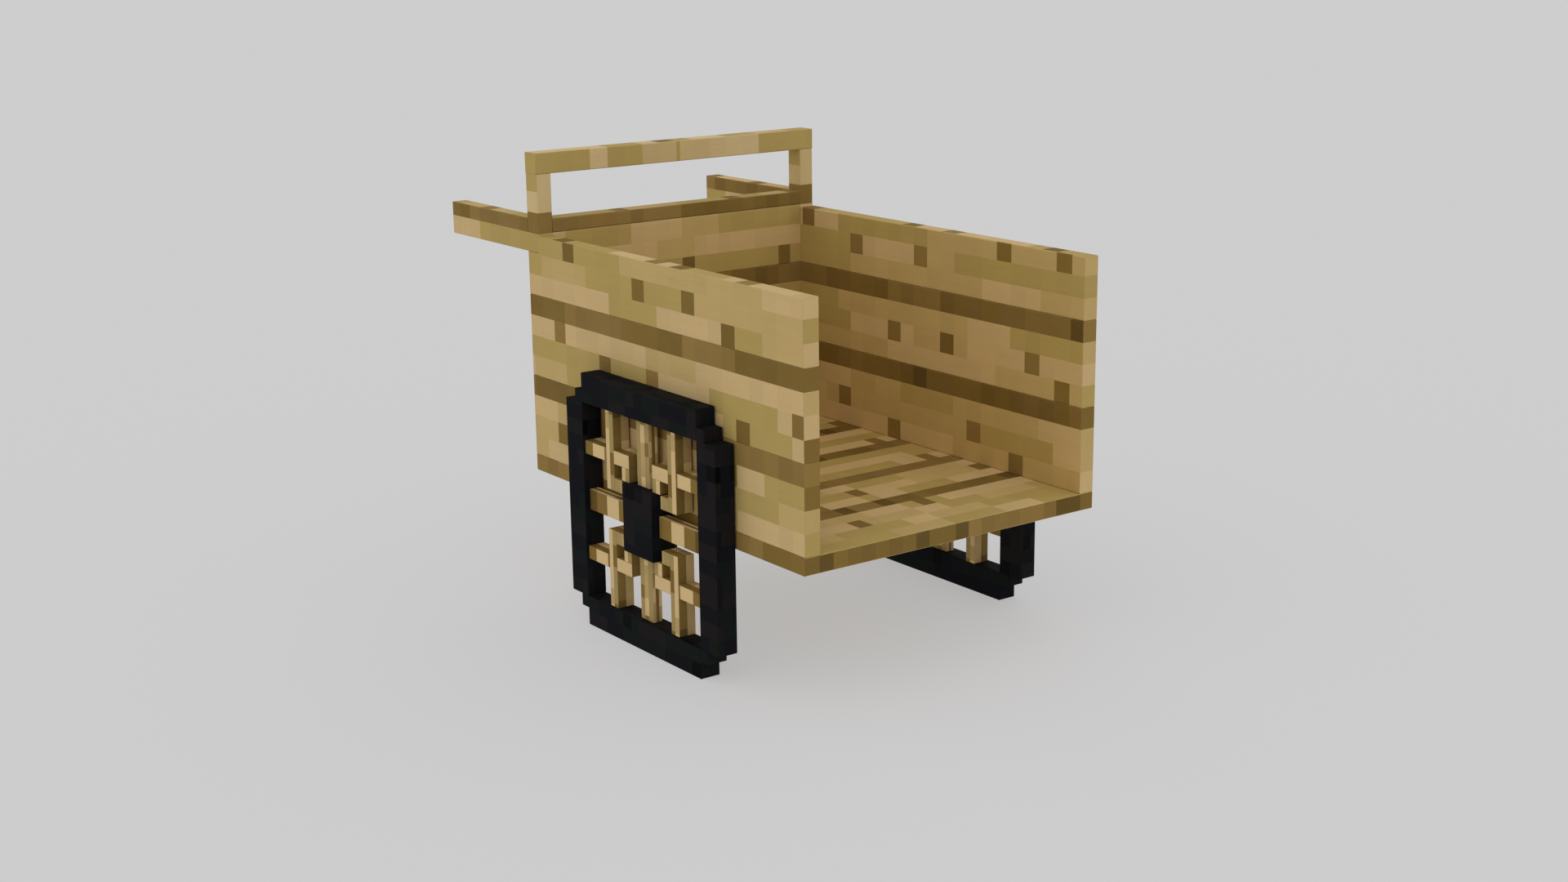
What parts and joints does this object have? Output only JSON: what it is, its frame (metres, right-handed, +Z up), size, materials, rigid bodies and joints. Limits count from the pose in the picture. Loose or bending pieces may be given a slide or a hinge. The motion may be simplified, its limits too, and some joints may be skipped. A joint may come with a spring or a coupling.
{
  "type": "two-wheeled hand cart",
  "caption": "Two-wheeled timber hand cart: open-ended plank box on a fixed axle, rear shafts, raised push bar and stepped square wheels with lattice spokes.",
  "frame": {"origin": "on the ground, under the middle of the cart's overall length and width", "axes": "+X from the push bar towards the open end, +Z up, +Y to the left of a person pushing it"},
  "size_m": [1.48, 0.94, 1.088],
  "materials": {
    "board_timber": "sawn, oiled",
    "rail_timber": "planed, oiled",
    "lattice_timber": "planed, oiled",
    "bed_timber": "rough sawn",
    "dowel_timber": "turned, unfinished",
    "black_timber": "tarred black, satin",
    "black_iron": "blackened, dull",
    "bare_steel": "bare, lightly greased",
    "bush_brass": "turned"
  },
  "bodies": {
    "cart": {"axle": "bare_steel", "axle_bed": "bed_timber", "axle_washers": "bare_steel", "dowels": "dowel_timber", "floor_board_1": "board_timber", "floor_board_2": "board_timber", "floor_board_3": "board_timber", "floor_board_4": "board_timber", "floor_board_5": "board_timber", "floor_board_6": "board_timber", "left_post": "rail_timber", "left_shaft": "rail_timber", "left_thrust_plate": "black_iron", "left_wall_board_1": "board_timber", "left_wall_board_2": "board_timber", "left_wall_board_3": "board_timber", "linch_pins": "bare_steel", "push_bar": "rail_timber", "rear_wall_board_1": "board_timber", "rear_wall_board_2": "board_timber", "rear_wall_board_3": "board_timber", "right_post": "rail_timber", "right_shaft": "rail_timber", "right_thrust_plate": "black_iron", "right_wall_board_1": "board_timber", "right_wall_board_2": "board_timber", "right_wall_board_3": "board_timber", "rim_beam": "rail_timber", "wood_screws": "bare_steel"},
    "left_wheel": {"left_bush": "bush_brass", "left_hub": "black_timber", "left_hub_cap": "black_timber", "left_lattice_lower_front": "lattice_timber", "left_lattice_lower_rear": "lattice_timber", "left_lattice_upper_front": "lattice_timber", "left_lattice_upper_rear": "lattice_timber", "left_rim_bottom": "black_timber", "left_rim_front": "black_timber", "left_rim_rear": "black_timber", "left_rim_top": "black_timber", "left_spoke_bottom": "lattice_timber", "left_spoke_front": "lattice_timber", "left_spoke_rear": "lattice_timber", "left_spoke_top": "lattice_timber"},
    "right_wheel": {"right_bush": "bush_brass", "right_hub": "black_timber", "right_hub_cap": "black_timber", "right_lattice_lower_front": "lattice_timber", "right_lattice_lower_rear": "lattice_timber", "right_lattice_upper_front": "lattice_timber", "right_lattice_upper_rear": "lattice_timber", "right_rim_bottom": "black_timber", "right_rim_front": "black_timber", "right_rim_rear": "black_timber", "right_rim_top": "black_timber", "right_spoke_bottom": "lattice_timber", "right_spoke_front": "lattice_timber", "right_spoke_rear": "lattice_timber", "right_spoke_top": "lattice_timber"}
  },
  "joints": [
    {"name": "left_wheel_spin", "type": "hinge", "parent": "cart", "child": "left_wheel", "pos_m": [0.19, 0.429, 0.306], "axis": [0, 1, 0], "continuous": true},
    {"name": "right_wheel_spin", "type": "hinge", "parent": "cart", "child": "right_wheel", "pos_m": [0.19, -0.429, 0.306], "axis": [0, 1, 0], "continuous": true}
  ]
}
